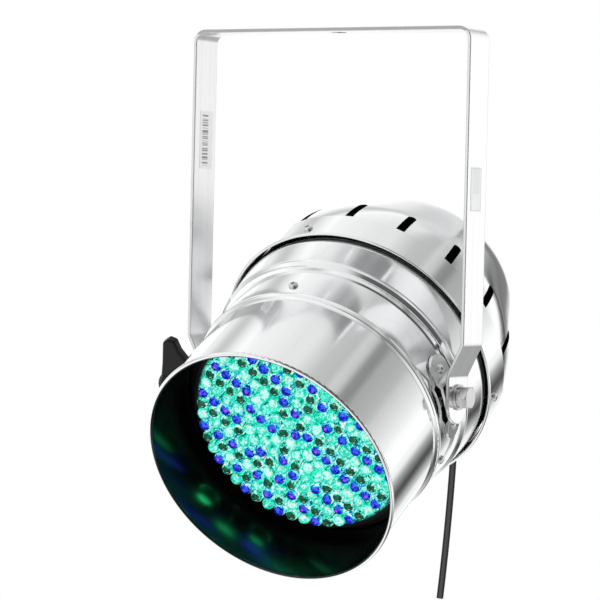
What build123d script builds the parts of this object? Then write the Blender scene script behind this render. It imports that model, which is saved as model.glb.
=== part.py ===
from build123d import *
import math
import os

# LED par can: a short spun-aluminium can on a bent strap yoke.
# Row frame: origin at the centre of the hanging hole, on the top face of the yoke's bridge.
# +Z is up, the can points towards -Y and the clamp knob is on -X.
# Can frame: origin on the tilt axis, can axis along Y, front towards -Y.  It is turned about X
# by TILT_REST and lowered by TILT_DROP into the row frame.
# Millimetres and degrees.  In names, _R is a radius, _T a thickness, _H a height and _S a
# station along the can axis.

# ---- shared ----
WALL = 1.2
TILT_DROP = 301.0        # tilt axis below the top face of the bridge
TILT_REST = 31.0         # can points this far below the horizontal
FACE_GAP = 0.005         # between boards, standoffs and other faces that touch
HEAD_GAP = 0.01          # under the small screw heads and panel fittings
SEAT_GAP = 0.02          # under the heads and brackets on the can
PIVOT_GAP = 0.05         # between the parts stacked on the tilt axis
SHEET_GAP = 0.2          # between nested sheets
INSERT_GAP = 0.4         # around the dishes inside the can
BOARD_T = 1.6            # every circuit board
PLATE_T = 1.5            # floors of the inner dishes, and the rear panel
STANDOFF_R = 3.0
M3_CLEAR_R = 1.7
M4_CLEAR_R = 2.2
SMALL_CLEAR_R = 1.6      # holes of the control and socket screws

# ---- yoke ----
YOKE_HALF = 131.0        # outer face of the upper arms
STRAP_T = 3.0
STRAP_W = 34.0
YOKE_CORNER_R = 11.0     # outside radius of the two top bends
ARM_JOG = 12.5           # the lower arms step inwards by this much
JOG_LOW = 17.0           # above the tilt axis
JOG_HIGH = 42.0
JOG_BEND_R = 7.0         # inside radius of the jog bends
ARM_END_BELOW = 5.0      # centre of the rounded arm end, below the tilt axis
STRAP_CHAMFER = 0.45
HANG_HOLE_R = 6.5
LABEL_T = 0.2
ARM_OUT = YOKE_HALF - ARM_JOG           # faces of the lower arms
ARM_IN = ARM_OUT - STRAP_T

# ---- can ----
BARREL_R = 108.0         # outside of the plain tube
RIM_R = 110.2            # outside of the rolled front edge
RIM_ROLL_R = 1.9
FRONT_S = -117.0
BEAD1_S0, BEAD1_S1, BEAD1_R = -30.2, -22.8, 110.8
BARREL_END_S = -3.5
RING_IN_R = BARREL_R + SHEET_GAP
RING_OUT_R = RING_IN_R + WALL
RING_S0, RING_S1 = -22.4, 20.4
BEAD2_S0, BEAD2_R1, BEAD2_R2 = 12.6, 112.5, 115.0
NECK_S0, NECK_S1 = 4.0, 74.0
NECK_STEP_S = RING_S1 + SHEET_GAP       # the neck widens straight behind the ring
NECK_R = 114.8           # outside of the neck straight behind the ring
NECK_R2 = 117.2          # outside of the neck under the cap
FLARE_S = 46.0           # where the neck has widened to that
COLLAR_R = 122.2
COLLAR_S0, COLLAR_S1 = 51.0, 80.3
COLLAR_ROLL_R = 1.2
SHELL_LAP_R = COLLAR_R - WALL - SHEET_GAP
BACK_S = 184.0           # rear face of the cap
BACK_OPEN_R = 59.0
SLOT_COUNT, SLOT_FIRST_ANGLE, SLOT_W = 16, 18.5, 7.6
SLOT_S0, SLOT_S1 = 68.0, 112.5
RING_SCREW_S, RING_SCREW_ANGLES = -12.0, (90.0, 210.0, 330.0)
COLLAR_SCREW_S, COLLAR_SCREW_ANGLES = 60.0, (99.0, 220.0, 341.5)
PIVOT_CLEAR_R = 11.5     # opening in the can walls for the pivot nuts

# outside of the dome as (radius, s), from the collar to the flat back
DOME = [(120.75, 80.0), (119.3, 94.0), (115.9, 108.5), (111.3, 122.0), (106.1, 136.0),
        (100.8, 150.0), (96.0, 162.0), (91.2, 172.0), (87.2, 177.8), (81.5, 182.0),
        (73.5, BACK_S)]

# ---- led module ----
CARRIER_S = -48.0        # front face of the carrier dish
CARRIER_END_S = -6.0     # rear edge of its skirt
CARRIER_R = BARREL_R - WALL - INSERT_GAP
LED_BOARD_S = -57.5      # front face of the led board
LED_BOARD_R = 98.0
LED_SCREW_R = 94.4
LED_PITCH = 10.75        # ring spacing; ring k carries 6k lamps
LED_R = 5.0
LED_FLANGE_R = 5.25
LED_H = 12.5
# for each ring: first lamp, counted in lamp steps from the +X side, and the colours in order
# (blue, red, green); a short string repeats round the ring
LAMP_RINGS = [(0.0, "B"), (0.84, "RGRGGB"), (0.52, "GGBRGBGRGGBR"),
              (0.72, "BGRGBGGBGGGBRGGBRG"), (0.76, "RGBRGBRGGBGGGBRGBGGGBRGB"),
              (1.88, "BRG"), (1.13, "BRG"), (0.38, "BRG"), (2.60, "BRG")]

# ---- pivots ----
BRACKET_T = 2.5
BRACKET_W = 24.0
BRACKET_IN_X = 111.4     # inner face of the raised middle
BRACKET_OUT_X = BRACKET_IN_X + BRACKET_T
RIVET_ANGLE = 14.0       # rivets sit this far round the ring from the pivot
RIVET_HOLE_R = 2.1
BOLT_R = 5.0
STUD_R = 4.0
PIVOT_HOLE_GAP = 0.06    # bolt and stud in the arms and friction washers
HEX_AF = 17.0            # across flats

# ---- rear panel ----
PANEL_R = 67.0
PANEL_S = BACK_S + 0.05
PANEL_BACK_S = PANEL_S + PLATE_T
PANEL_SCREW_R = PANEL_R - 4.0
DISPLAY_X0, DISPLAY_X1, DISPLAY_Z0, DISPLAY_Z1 = -17.0, 17.0, 28.0, 44.0
BUTTONS = {"menu_button": -24.0, "down_button": -8.0, "up_button": 8.0, "enter_button": 24.0}
BUTTON_Z = 17.5
BUTTON_R = 3.5
CONTROL_S = BACK_S - 11.0               # front face of the control board
CONTROL_SCREWS = [(-33.0, 12.0), (33.0, 12.0), (-33.0, 42.0), (33.0, 42.0)]
DMX_IN, DMX_OUT = (-27.0, -16.0), (27.0, -16.0)
SOCKET_SCREW_STEPS = ((-9.5, 12.0), (9.5, -12.0))
PIN_CIRCLE_R = 4.1
PIN_ANGLES = (150.0, 30.0, 270.0)

# ---- gland and mains cable ----
GLAND_X, GLAND_Z = -4.5, -46.0
GLAND_R = 8.0
GLAND_AF = 19.0
GLAND_IN_S, GLAND_OUT_S = BACK_S - 11.0, PANEL_BACK_S + 19.0
CABLE_R = 3.1
CABLE_BEND_R = 27.0
CABLE_SAG_R = 2200.0     # the hanging length leans slightly towards -X
CABLE_END_Z = -497.0     # cut end of the cable, row frame

# ---- electronics in the neck ----
CHASSIS_S, CHASSIS_END_S = 30.0, 67.0
CHASSIS_R = NECK_R - WALL - INSERT_GAP
CHASSIS_R2 = NECK_R2 - WALL - INSERT_GAP
DRIVER_S = 18.0
DRIVER_POSTS = [(-50.0, -38.0), (50.0, -38.0), (-50.0, 38.0), (50.0, 38.0)]
SUPPLY_S = 40.0
SUPPLY_POSTS = [(-46.0, -26.0), (46.0, -26.0), (-46.0, 26.0), (46.0, 26.0)]

os.makedirs("parts", exist_ok=True)


# ==============================================================================
# Helpers
# ==============================================================================
def place(shape):
    """can frame -> row frame"""
    return Location((0, 0, -TILT_DROP)) * Rotation(TILT_REST, 0, 0) * shape


def solids_of(shape):
    if isinstance(shape, (list, tuple)):
        return [solid for item in shape for solid in solids_of(item)]
    return list(shape.solids())


def put(name, shape, in_can=True):
    """write one piece, or a list of them, as parts/NAME.step"""
    out = [place(solid) if in_can else solid for solid in solids_of(shape)]
    final = out[0] if len(out) == 1 else Compound(children=out)
    export_step(final, f"parts/{name}.step")


def cut(shape, tools):
    for tool in tools:
        shape = shape - tool
    return shape


def face_of(points, rounds=None):
    """closed polygon in XY, with selected corners rounded: rounds={index: radius}"""
    face = make_face(Polyline(*points, close=True))
    for i, radius in (rounds or {}).items():
        x, y = points[i]
        corner = [v for v in face.vertices() if abs(v.X - x) < 1e-4 and abs(v.Y - y) < 1e-4]
        face = fillet(corner, radius)
    return face


def spun(points, rounds=None):
    """revolve a profile of (radius, s) points about the can axis"""
    return revolve(face_of(points, rounds), Axis.Y, 360)


def rolled_edge(radius, s, roll_r):
    """round bead about the can axis, its section centred at (radius, s)"""
    return revolve(Location((radius, s)) * Circle(roll_r), Axis.Y, 360)


def slab(face, width):
    """stand a face drawn as (x, z) upright and thicken it evenly about y=0"""
    return Location((0, width / 2, 0), (90, 0, 0)) * extrude(face, width)


def cyl_x(radius, x0, x1, y=0.0, z=0.0):
    return Location(((x0 + x1) / 2, y, z), (0, 90, 0)) * Cylinder(radius, abs(x1 - x0))


def cyl_y(radius, y0, y1, x=0.0, z=0.0):
    return Location((x, (y0 + y1) / 2, z), (90, 0, 0)) * Cylinder(radius, y1 - y0)


def box(x0, x1, y0, y1, z0, z1):
    centre = ((x0 + x1) / 2, (y0 + y1) / 2, (z0 + z1) / 2)
    return Location(centre) * Box(x1 - x0, y1 - y0, z1 - z0)


def holes_y(radius, s, places):
    """cutters through a thin plate near s, one at each (x, z)"""
    return [cyl_y(radius, s - 5, s + 5, x, z) for x, z in places]


def at_places(shape, s, places):
    return [Location((x, s, z)) * shape for x, z in places]


def diagonals(radius):
    """four (x, z) places on a circle, on the diagonals"""
    angles = [math.radians(a) for a in (45, 135, 225, 315)]
    return [(radius * math.cos(a), radius * math.sin(a)) for a in angles]


def radial(shape, angle, s):
    """turn a shape with +Z outwards to an angle (from +X towards the can's upper side) and
    move it to station s; its z=0 is the can axis"""
    return Location((0, s, 0)) * Rotation(0, 90.0 - angle, 0) * shape


def radials(shape, angles, s):
    return [radial(shape, angle, s) for angle in angles]


def rod(radius, length, middle):
    """cylinder along Z, to be used with radial"""
    return Location((0, 0, middle)) * Cylinder(radius, length)


def hexagon(across_flats, height, z0):
    return Location((0, 0, z0)) * extrude(RegularPolygon(across_flats / math.sqrt(3), 6), height)


def hex_nut(across_flats, hole_r, z0, height):
    return hexagon(across_flats, height, z0) - rod(hole_r, height * 3, z0 + height / 2)


def washer_x(radius, hole_r, x0, x1):
    return cyl_x(radius, x0, x1) - cyl_x(hole_r, min(x0, x1) - 5, max(x0, x1) + 5)


def pan_screw(shank_r, head_r, head_h, seat, tip):
    """pan head with a cross recess, axis +Z, head above z=seat"""
    top = seat + head_h
    profile = [(0, tip), (shank_r, tip), (shank_r, seat), (head_r, seat),
               (head_r, top - head_h * 0.45), (head_r * 0.62, top), (0, top)]
    body = Rotation(90, 0, 0) * spun(profile, {5: head_r * 0.3})
    half_w, half_l = head_r * 0.13, head_r * 0.575
    floor = top - head_h * 0.62
    cross = box(-half_w, half_w, -half_l, half_l, floor, top + 1) \
        + box(-half_l, half_l, -half_w, half_w, floor, top + 1)
    return body - cross


def offset_path(points, distance):
    """parallel polyline with mitred corners; a positive distance is to the left"""
    normals = []
    for (x0, y0), (x1, y1) in zip(points, points[1:]):
        length = math.hypot(x1 - x0, y1 - y0)
        normals.append(((y0 - y1) / length, (x1 - x0) / length))
    out = []
    before, after = normals[:1] + normals, normals + normals[-1:]
    for (x, y), (ax, ay), (bx, by) in zip(points, before, after):
        reach = distance / (1 + ax * bx + ay * by)
        out.append((x + (ax + bx) * reach, y + (ay + by) * reach))
    return out


# ==============================================================================
# Yoke: one strap bent from flat bar
# ==============================================================================
arm_end_z = -TILT_DROP - ARM_END_BELOW
right_arm = [(ARM_OUT, arm_end_z - STRAP_W / 2), (ARM_OUT, -TILT_DROP + JOG_LOW),
             (YOKE_HALF, -TILT_DROP + JOG_HIGH), (YOKE_HALF, 0.0)]
strap_outer = right_arm + [(-x, z) for x, z in reversed(right_arm)]
strap = strap_outer + offset_path(strap_outer, STRAP_T)[::-1]

jog_out_r = JOG_BEND_R + STRAP_T
corner_in_r = YOKE_CORNER_R - STRAP_T
outer_bends = (JOG_BEND_R, jog_out_r, YOKE_CORNER_R, YOKE_CORNER_R, jog_out_r, JOG_BEND_R)
inner_bends = (jog_out_r, JOG_BEND_R, corner_in_r, corner_in_r, JOG_BEND_R, jog_out_r)
bends = dict(enumerate(outer_bends, 1))
for i, radius in enumerate(inner_bends, 1):
    bends[len(strap) - 1 - i] = radius
yoke = slab(face_of(strap, bends), STRAP_W)

# full-round arm ends
yoke = yoke - (box(-200, 200, -40, 40, arm_end_z - 40, arm_end_z)
               - cyl_x(STRAP_W / 2, -200, 200, 0, arm_end_z))
long_edges = [e for e in yoke.edges() if e.geom_type == GeomType.LINE and e.length > 60
              and abs(abs(e.center().Y) - STRAP_W / 2) < 0.01]
yoke = chamfer(long_edges, STRAP_CHAMFER)
yoke = yoke - cyl_x(BOLT_R + PIVOT_HOLE_GAP, 100, 140, 0, -TILT_DROP)
yoke = yoke - cyl_x(STUD_R + PIVOT_HOLE_GAP, -140, -100, 0, -TILT_DROP)
yoke = yoke - rod(HANG_HOLE_R, STRAP_T * 3, -STRAP_T / 2)
put("yoke", yoke, in_can=False)

# plain labels: outside of the +X arm, and inside of the -X arm
put("arm_label", box(YOKE_HALF + FACE_GAP, YOKE_HALF + LABEL_T, -11.0, 8.0, -150.0, -114.0),
    in_can=False)
arm_inside_x = -YOKE_HALF + STRAP_T
put("bar_label", box(arm_inside_x + FACE_GAP, arm_inside_x + LABEL_T, -8.5, 11.5, -117.0, -68.0),
    in_can=False)

# ==============================================================================
# Can
# ==============================================================================
pivot_cut = cyl_x(PIVOT_CLEAR_R, -130, 130)
ring_holes = radials(rod(M4_CLEAR_R, 40, 105), RING_SCREW_ANGLES, RING_SCREW_S)
collar_holes = radials(rod(M4_CLEAR_R, 50, 110), COLLAR_SCREW_ANGLES, COLLAR_SCREW_S)
rivet_hole = rod(RIVET_HOLE_R, 16, 108)
rivet_angles = [side + step for side in (0.0, 180.0) for step in (-RIVET_ANGLE, RIVET_ANGLE)]

# Front barrel: tube with a rolled front edge and a raised bead towards the back
barrel_in_r = BARREL_R - WALL
rim_s = FRONT_S + RIM_ROLL_R
barrel = spun([(barrel_in_r, rim_s), (BARREL_R, rim_s), (BARREL_R, BEAD1_S0),
               (BEAD1_R - 0.4, BEAD1_S0 + 1.4), (BEAD1_R, BEAD1_S0 + 3.7),
               (BEAD1_R - 0.4, BEAD1_S1 - 1.0), (BARREL_R + 0.6, BEAD1_S1), (BARREL_R, BEAD1_S1),
               (BARREL_R, BARREL_END_S), (barrel_in_r, BARREL_END_S)], {3: 1.0, 5: 0.9})
barrel = barrel + rolled_edge(RIM_R - RIM_ROLL_R, rim_s, RIM_ROLL_R)
put("front_barrel", cut(barrel, [pivot_cut] + ring_holes))

# Body ring: carries the side brackets, ends in a stepped bead
ring = spun([(RING_IN_R, RING_S0), (RING_OUT_R, RING_S0), (RING_OUT_R, BEAD2_S0),
             (BEAD2_R1, BEAD2_S0 + 0.6), (BEAD2_R1 + 0.2, BEAD2_S0 + 1.8),
             (BEAD2_R2, BEAD2_S0 + 4.6), (BEAD2_R2, RING_S1 - 0.7), (BEAD2_R2 - 1.2, RING_S1),
             (RING_IN_R, RING_S1)], {3: 0.5, 5: 1.5, 6: 0.5})
put("body_ring", cut(ring, [pivot_cut] + ring_holes + radials(rivet_hole, rivet_angles, 0.0)))

# Rear neck: plugs into the ring, then widens to the bead's height and runs under the cap
neck = spun([(barrel_in_r, NECK_S0), (BARREL_R, NECK_S0), (BARREL_R, NECK_STEP_S),
             (NECK_R, NECK_STEP_S), (NECK_R2, FLARE_S), (NECK_R2, NECK_S1),
             (NECK_R2 - WALL, NECK_S1), (NECK_R2 - WALL, FLARE_S),
             (NECK_R - WALL, NECK_STEP_S + WALL), (barrel_in_r, NECK_STEP_S + WALL)],
            {3: 0.8, 8: 0.4})
put("rear_neck", cut(neck, [pivot_cut] + collar_holes))

# Cap collar: flat band with a rolled front lip
lip_s = COLLAR_S0 + COLLAR_ROLL_R
collar = spun([(COLLAR_R - WALL, lip_s), (COLLAR_R, lip_s),
               (COLLAR_R, COLLAR_S1), (COLLAR_R - WALL, COLLAR_S1)])
collar = collar + rolled_edge(COLLAR_R - COLLAR_ROLL_R, lip_s, COLLAR_ROLL_R)
put("cap_collar", cut(collar, collar_holes))


# Rear cap: cylindrical lap under the collar, then a domed shell with a flat back
def dome_inner(points, thickness):
    """points moved inwards, square to the line between their neighbours"""
    out = []
    for i, (radius, s) in enumerate(points):
        r0, s0 = points[max(i - 1, 0)]
        r1, s1 = points[min(i + 1, len(points) - 1)]
        length = math.hypot(r1 - r0, s1 - s0)
        out.append((radius - (s1 - s0) / length * thickness,
                    s + (r1 - r0) / length * thickness))
    out[0] = (points[0][0] - thickness, points[0][1])
    out[-1] = (points[-1][0], points[-1][1] - thickness)
    return out


dome_in = dome_inner(DOME, WALL)
lap_in_r = SHELL_LAP_R - WALL
LAP_S0, LAP_S1, LAP_IN_S1 = 56.0, 79.0, 78.5
shell_edges = Line((SHELL_LAP_R, LAP_S0), (SHELL_LAP_R, LAP_S1)) \
    + Line((SHELL_LAP_R, LAP_S1), DOME[0]) \
    + Spline(*DOME) \
    + Line(DOME[-1], (BACK_OPEN_R, BACK_S)) \
    + Line((BACK_OPEN_R, BACK_S), (BACK_OPEN_R, BACK_S - WALL)) \
    + Line((BACK_OPEN_R, BACK_S - WALL), dome_in[-1]) \
    + Spline(*dome_in[::-1]) \
    + Line(dome_in[0], (lap_in_r, LAP_IN_S1)) \
    + Line((lap_in_r, LAP_IN_S1), (lap_in_r, LAP_S0)) \
    + Line((lap_in_r, LAP_S0), (SHELL_LAP_R, LAP_S0))
shell = revolve(make_face(shell_edges), Axis.Y, 360)
slot_half = SLOT_W / 2
slot_end_s = SLOT_S1 - slot_half
slot = box(-slot_half, slot_half, SLOT_S0, slot_end_s, 95, 130) \
    + Location((0, slot_end_s, 112.5)) * Cylinder(slot_half, 35)
slot_angles = [SLOT_FIRST_ANGLE + 360.0 / SLOT_COUNT * i for i in range(SLOT_COUNT)]
panel_screws = diagonals(PANEL_SCREW_R)
shell = cut(shell, radials(slot, slot_angles, 0.0) + collar_holes)
put("rear_cap", cut(shell, holes_y(M3_CLEAR_R, BACK_S, panel_screws)))

# ==============================================================================
# Radial screws, nuts and spacers of the can
# ==============================================================================
M4_NUT_H = 3.2


def put_radial_fixings(prefix, surface_r, tip, nut_z0, angles, s):
    screw = pan_screw(shank_r=2.0, head_r=3.9, head_h=2.6, seat=surface_r + SEAT_GAP, tip=tip)
    put(prefix + "_screws", radials(screw, angles, s))
    nut = hex_nut(7.0, 2.04, nut_z0, M4_NUT_H)
    put(prefix + "_nuts", radials(nut, angles, s))


put_radial_fixings("ring", RING_OUT_R, 100.5, CARRIER_R - WALL - 0.2 - M4_NUT_H,
                   RING_SCREW_ANGLES, RING_SCREW_S)
put_radial_fixings("collar", COLLAR_R, 109.2, CHASSIS_R2 - WALL - 0.15 - M4_NUT_H,
                   COLLAR_SCREW_ANGLES, COLLAR_SCREW_S)
spacer_in, spacer_out = NECK_R2 + 0.05, lap_in_r - 0.1
spacer = Location((0, 0, (spacer_in + spacer_out) / 2)) \
    * (Cylinder(4.0, spacer_out - spacer_in) - Cylinder(2.1, 40))
put("collar_spacers", radials(spacer, COLLAR_SCREW_ANGLES, COLLAR_SCREW_S))

# ==============================================================================
# LED module
# ==============================================================================
led_screws = diagonals(LED_SCREW_R)

# carrier dish with three wire holes across the middle of its floor
skirt_in = CARRIER_R - WALL
carrier = spun([(0, CARRIER_S), (CARRIER_R, CARRIER_S), (CARRIER_R, CARRIER_END_S),
                (skirt_in, CARRIER_END_S), (skirt_in, CARRIER_S + PLATE_T),
                (0, CARRIER_S + PLATE_T)], {1: 1.4})
carrier = cut(carrier, [pivot_cut] + ring_holes + holes_y(M3_CLEAR_R, CARRIER_S, led_screws))
put("led_carrier", cut(carrier, holes_y(7.0, CARRIER_S, ((0, 0), (40, 0), (-40, 0)))))

led_board_back = LED_BOARD_S + BOARD_T
board = cyl_y(LED_BOARD_R, LED_BOARD_S, led_board_back)
put("led_board", cut(board, holes_y(M3_CLEAR_R, LED_BOARD_S, led_screws)))
put("led_standoffs", [cyl_y(STANDOFF_R, led_board_back + FACE_GAP, CARRIER_S - FACE_GAP, x, z)
                      - cyl_y(1.55, -80, -40, x, z) for x, z in led_screws])
led_screw = pan_screw(shank_r=1.5, head_r=2.8, head_h=2.0, seat=0.0, tip=-9.0)
put("led_board_screws", at_places(Rotation(90, 0, 0) * led_screw, LED_BOARD_S - HEAD_GAP,
                                  led_screws))

# lamp: flange, straight body and a half-round lens towards the front
lens_y = -(LED_H - LED_R)
lens_diagonal = LED_R * math.sin(math.pi / 4)
lamp_edges = Line((0, 0), (LED_FLANGE_R, 0)) \
    + Line((LED_FLANGE_R, 0), (LED_FLANGE_R, -1.0)) \
    + Line((LED_FLANGE_R, -1.0), (LED_R, -1.0)) \
    + Line((LED_R, -1.0), (LED_R, lens_y)) \
    + ThreePointArc((LED_R, lens_y), (lens_diagonal, lens_y - lens_diagonal), (0, -LED_H)) \
    + Line((0, -LED_H), (0, 0))
lamp = revolve(make_face(lamp_edges), Axis.Y, 360)
lamps = {"B": [], "R": [], "G": []}
for k, (start, colours) in enumerate(LAMP_RINGS):
    count = max(1, 6 * k)
    for i in range(count):
        angle = math.radians((start + i) * 360.0 / count)
        x, z = LED_PITCH * k * math.cos(angle), LED_PITCH * k * math.sin(angle)
        lamps[colours[i % len(colours)]].append(
            Location((x, LED_BOARD_S - FACE_GAP, z)) * lamp)
put("leds_blue", lamps["B"])
put("leds_red", lamps["R"])
put("leds_green", lamps["G"])

# ==============================================================================
# Side brackets and pivots
# ==============================================================================
pad_r = RING_OUT_R + SEAT_GAP           # the bracket feet lie on this radius
rivet_sin = math.sin(math.radians(RIVET_ANGLE))
rivet_cos = math.cos(math.radians(RIVET_ANGLE))


def foot_point(z):
    """point on the inner face of a foot, which is tangent to the ring at the rivet"""
    return ((pad_r - z * rivet_sin) / rivet_cos, z)


# raised middle, a short step down each side, then the feet
upper_path = [(BRACKET_IN_X, 15.0), foot_point(18.6), foot_point(42.0)]
bracket_path = [(x, -z) for x, z in reversed(upper_path)] + upper_path
bracket_outline = bracket_path + offset_path(bracket_path, -BRACKET_T)[::-1]
bracket = slab(face_of(bracket_outline, {1: 2.0, 2: 3.5, 3: 3.5, 4: 2.0,
                                         10: 3.5, 9: 1.5, 8: 1.5, 7: 3.5}), BRACKET_W)
rivet_z = (RING_OUT_R + BRACKET_T) * rivet_sin
end_r = BRACKET_W / 2
bracket = bracket & (box(90, 130, -end_r, end_r, -rivet_z, rivet_z)
                     + cyl_x(end_r, 90, 130, 0, rivet_z) + cyl_x(end_r, 90, 130, 0, -rivet_z))
bracket = cut(bracket, radials(rivet_hole, (-RIVET_ANGLE, RIVET_ANGLE), 0.0))
put("side_bracket_right", bracket - cyl_x(BOLT_R + PIVOT_GAP, 90, 130))
put("side_bracket_left",
    Rotation(0, 180, 0) * (bracket - cyl_x(STUD_R + PIVOT_GAP, 90, 130)))

# rivets: wide end inside the ring, dimpled head outside
rivet_in = 105.6
flange_top = RING_IN_R - 0.25
rivet_seat = pad_r + BRACKET_T + 0.02
rivet_top = pad_r + BRACKET_T + 1.9
rivet = Rotation(90, 0, 0) * spun(
    [(0, rivet_in), (3.0, rivet_in), (3.0, flange_top), (2.0, flange_top), (2.0, rivet_seat),
     (4.2, rivet_seat), (3.6, rivet_top - 0.7), (1.1, rivet_top), (1.1, rivet_top - 1.0),
     (0, rivet_top - 1.0)], {6: 0.8})
put("bracket_rivets", radials(rivet, rivet_angles, 0.0))

put("friction_washers", [washer_x(11.0, shaft_r + PIVOT_HOLE_GAP,
                                  side * (BRACKET_OUT_X + PIVOT_GAP), side * (ARM_IN - PIVOT_GAP))
                         for side, shaft_r in ((1, BOLT_R), (-1, STUD_R))])

# +X pivot: hexagon bolt, flat washer, split spring washer, nut behind the bracket
HEX_HEAD_H = 7.0
flat_x = ARM_OUT + PIVOT_GAP
spring_x = flat_x + 2.0
head_x = spring_x + 2.5
crown = Location((0, 0, head_x)) * Rotation(90, 0, 0) * spun(
    [(0, 0), (9.9, 0), (9.9, HEX_HEAD_H - 1.1), (8.1, HEX_HEAD_H), (0, HEX_HEAD_H)])
bolt_head = (Rotation(0, 90, 0) * hexagon(HEX_AF, HEX_HEAD_H, head_x)) \
    & (Rotation(0, 90, 0) * crown)
put("pivot_bolt", bolt_head + cyl_x(BOLT_R, 99.0, head_x + 0.5))
put("pivot_nut", Rotation(0, 90, 0) * hex_nut(HEX_AF, BOLT_R + 0.04, 103.0, 8.0))
put("pivot_flat_washer", washer_x(10.5, BOLT_R + 0.1, flat_x, spring_x))
washer_split = Location((ARM_OUT + 3.3, 0, 7.0), (25, 0, 0)) * Box(6.0, 1.4, 7.0)
put("pivot_spring_washer", washer_x(8.9, BOLT_R + 0.1, spring_x, head_x) - washer_split)

# -X pivot: flanged stud, washer, wing knob with an insert
stud_seat = BRACKET_IN_X - PIVOT_GAP
put("clamp_stud", cyl_x(9.0, -stud_seat, -(stud_seat - 4.0))
    + cyl_x(STUD_R, -150.0, -(BRACKET_IN_X - 2.0)))
CLAMP_WASHER_T = 1.6
put("clamp_washer", washer_x(12.0, STUD_R + 0.1, -flat_x, -(flat_x + CLAMP_WASHER_T)))

knob_x = flat_x + CLAMP_WASHER_T + PIVOT_GAP            # inner face of the knob, towards -X
# hub as (radius, distance from the inner face)
hub = spun([(0, 0), (13.5, 0), (13.5, 4.0), (11.5, 8.0), (10.4, 40.0), (7.6, 45.0), (0, 45.8)],
           {2: 1.5, 3: 4.0, 5: 3.0})
hub = Location((-knob_x, 0, 0), (0, 0, 90)) * hub
# upper wing as (x, z); the lower one is the same turned over
WING_T = 8.4
wing_points = [(-knob_x - 4.0, 0.0), (-knob_x - 5.5, 12.0), (-137.0, 34.0), (-138.6, 44.0),
               (-144.5, 46.5), (-150.5, 43.5), (-157.5, 22.0), (-knob_x - 43.0, 7.0),
               (-knob_x - 42.0, 0.0)]
wing = slab(face_of(wing_points, {1: 5.0, 2: 8.0, 3: 3.0, 4: 3.0, 5: 4.5, 6: 14.0}), WING_T)
wing_edges = [e for e in wing.edges()
              if e.center().Z > 14.0 and abs(abs(e.center().Y) - WING_T / 2) < 0.01]
wing = fillet(wing_edges, 2.2)
knob = hub + wing + Rotation(180, 0, 0) * wing
INSERT_R = 7.0
knob = knob - cyl_x(INSERT_R, -knob_x + 1, -(knob_x + 18.0)) \
    - cyl_x(4.6, -knob_x, -(knob_x + 33.0))
put("tilt_knob", knob)
put("knob_insert", washer_x(INSERT_R, STUD_R + 0.05, -(knob_x + 0.2), -(knob_x + 17.9)))

# ==============================================================================
# Rear panel and its fittings
# ==============================================================================
def socket_screw_places(place_xz):
    return [(place_xz[0] + dx, place_xz[1] + dz) for dx, dz in SOCKET_SCREW_STEPS]


def pin_places(place_xz):
    return [(place_xz[0] + PIN_CIRCLE_R * math.cos(math.radians(a)),
             place_xz[1] + PIN_CIRCLE_R * math.sin(math.radians(a))) for a in PIN_ANGLES]


button_places = [(x, BUTTON_Z) for x in BUTTONS.values()]
panel = cyl_y(PANEL_R, PANEL_S, PANEL_BACK_S)
panel = panel - box(DISPLAY_X0, DISPLAY_X1, PANEL_S - 5, PANEL_S + 5, DISPLAY_Z0, DISPLAY_Z1)
panel = cut(panel, holes_y(BUTTON_R + 0.06, PANEL_S, button_places))
for dmx in (DMX_IN, DMX_OUT):
    panel = cut(panel, holes_y(12.1, PANEL_S, [dmx]))
    panel = cut(panel, holes_y(SMALL_CLEAR_R, PANEL_S, socket_screw_places(dmx)))
panel = cut(panel, holes_y(GLAND_R + 0.1, PANEL_S, [(GLAND_X, GLAND_Z)]))
panel = cut(panel, holes_y(M3_CLEAR_R, PANEL_S, panel_screws))
put("rear_panel", cut(panel, holes_y(SMALL_CLEAR_R, PANEL_S, CONTROL_SCREWS)))

panel_screw = pan_screw(shank_r=1.5, head_r=2.8, head_h=2.0, seat=0.0, tip=-7.0)
put("panel_screws", at_places(Rotation(-90, 0, 0) * panel_screw, PANEL_BACK_S + HEAD_GAP,
                              panel_screws))
control_screw = pan_screw(shank_r=1.4, head_r=2.6, head_h=1.8, seat=0.0, tip=-6.0)
put("control_screws", at_places(Rotation(-90, 0, 0) * control_screw, PANEL_BACK_S + HEAD_GAP,
                                CONTROL_SCREWS))

# control board with the display and the button switches on its rear face
put("control_board", box(-37.0, 37.0, CONTROL_S, CONTROL_S + BOARD_T, 8.0, 46.0))
on_control = CONTROL_S + BOARD_T + FACE_GAP
put("control_standoffs", [cyl_y(STANDOFF_R, on_control, PANEL_S - FACE_GAP, x, z)
                          - cyl_y(1.45, PANEL_S - 8, PANEL_S + 5, x, z)
                          for x, z in CONTROL_SCREWS])
put("display_module", box(-15.5, 15.5, on_control, PANEL_S - 0.8, 29.5, 42.5))
put("display_window", box(DISPLAY_X0 + 0.1, DISPLAY_X1 - 0.1, PANEL_S - 0.6, PANEL_BACK_S + 0.4,
                          DISPLAY_Z0 + 0.1, DISPLAY_Z1 - 0.1))
put("button_switches", [box(x - 3.0, x + 3.0, on_control, CONTROL_S + 6.6, z - 3.0, z + 3.0)
                        for x, z in button_places])
button = spun([(0, BACK_S - 3.0), (4.6, BACK_S - 3.0), (4.6, BACK_S - 1.8),
               (BUTTON_R, BACK_S - 1.8), (BUTTON_R, PANEL_BACK_S + 2.0),
               (0, PANEL_BACK_S + 2.0)], {4: 0.6})
for name, x in BUTTONS.items():
    put(name, Location((x, 0, BUTTON_Z)) * button)

# sockets: a rectangular flange on the panel and a round body through it
SOCKET_FLANGE_S = PANEL_BACK_S + 2.0
SOCKET_CUT_S = PANEL_BACK_S + 5         # cutters end behind the flange


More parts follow.
